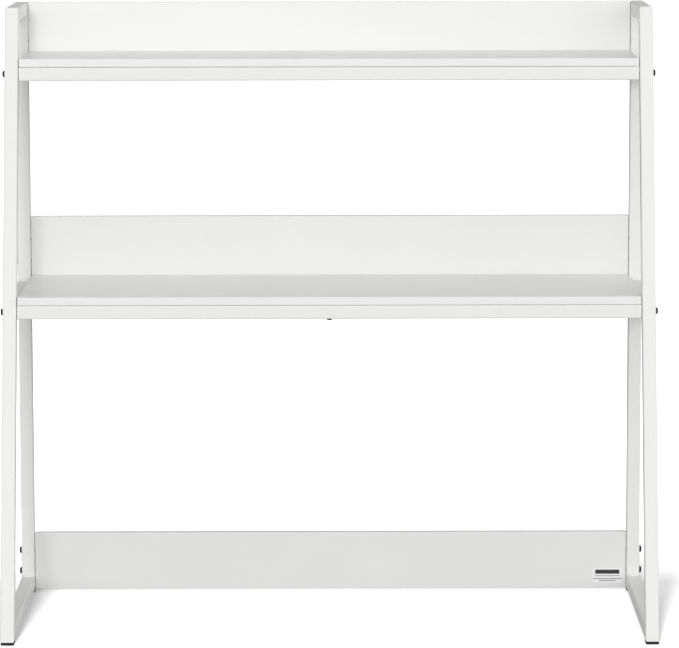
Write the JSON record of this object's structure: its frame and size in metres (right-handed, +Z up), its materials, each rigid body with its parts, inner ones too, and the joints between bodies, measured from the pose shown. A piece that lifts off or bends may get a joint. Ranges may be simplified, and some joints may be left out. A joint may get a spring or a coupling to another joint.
{
  "type": "desk hutch",
  "caption": "Open desk hutch: a deep and a shallow white shelf on front rails between leaning square-tube side frames, with low back panels and black foot pads.",
  "frame": {"origin": "centre of the overall box at the height of the surface it stands on", "axes": "+X to the right along the shelves, +Y to the back panels, +Z up"},
  "size_m": [0.9572, 0.4, 0.906],
  "materials": {
    "white_powder_coat": "fine satin powder coat",
    "white_laminate": "satin melamine laminate with banded edges",
    "black_rubber": "matte moulded rubber",
    "black_oxide_steel": "black oxide",
    "zinc_plated_steel": "bright zinc plate",
    "label_paper": "satin sticker without lettering"
  },
  "bodies": {
    "root": {"blank_label": "label_paper", "left_floor_rail": "white_powder_coat", "left_front_foot_pad": "black_rubber", "left_front_leg": "white_powder_coat", "left_lower_barrel_nut_high": "zinc_plated_steel", "left_lower_barrel_nut_low": "zinc_plated_steel", "left_lower_panel_bolt_high": "black_oxide_steel", "left_lower_panel_bolt_low": "black_oxide_steel", "left_mid_back_screw": "black_oxide_steel", "left_mid_barrel_nut_high": "zinc_plated_steel", "left_mid_barrel_nut_low": "zinc_plated_steel", "left_mid_panel_bolt_high": "black_oxide_steel", "left_mid_panel_bolt_low": "black_oxide_steel", "left_mid_rail_bolt": "black_oxide_steel", "left_mid_rail_screw": "black_oxide_steel", "left_rear_foot_pad": "black_rubber", "left_rear_leg": "white_powder_coat", "left_side_rail": "white_powder_coat", "left_top_back_screw": "black_oxide_steel", "left_top_barrel_nut_high": "zinc_plated_steel", "left_top_barrel_nut_low": "zinc_plated_steel", "left_top_panel_bolt_high": "black_oxide_steel", "left_top_panel_bolt_low": "black_oxide_steel", "left_top_rail_bolt": "black_oxide_steel", "left_top_rail_screw": "black_oxide_steel", "left_top_tube": "white_powder_coat", "lower_back_panel": "white_laminate", "mid_back_panel": "white_laminate", "mid_front_rail": "white_powder_coat", "mid_rail_centre_screw": "black_oxide_steel", "mid_shelf": "white_laminate", "right_floor_rail": "white_powder_coat", "right_front_foot_pad": "black_rubber", "right_front_leg": "white_powder_coat", "right_lower_barrel_nut_high": "zinc_plated_steel", "right_lower_barrel_nut_low": "zinc_plated_steel", "right_lower_panel_bolt_high": "black_oxide_steel", "right_lower_panel_bolt_low": "black_oxide_steel", "right_mid_back_screw": "black_oxide_steel", "right_mid_barrel_nut_high": "zinc_plated_steel", "right_mid_barrel_nut_low": "zinc_plated_steel", "right_mid_panel_bolt_high": "black_oxide_steel", "right_mid_panel_bolt_low": "black_oxide_steel", "right_mid_rail_bolt": "black_oxide_steel", "right_mid_rail_screw": "black_oxide_steel", "right_rear_foot_pad": "black_rubber", "right_rear_leg": "white_powder_coat", "right_side_rail": "white_powder_coat", "right_top_back_screw": "black_oxide_steel", "right_top_barrel_nut_high": "zinc_plated_steel", "right_top_barrel_nut_low": "zinc_plated_steel", "right_top_panel_bolt_high": "black_oxide_steel", "right_top_panel_bolt_low": "black_oxide_steel", "right_top_rail_bolt": "black_oxide_steel", "right_top_rail_screw": "black_oxide_steel", "right_top_tube": "white_powder_coat", "top_back_panel": "white_laminate", "top_front_rail": "white_powder_coat", "top_shelf": "white_laminate"}
  },
  "joints": []
}
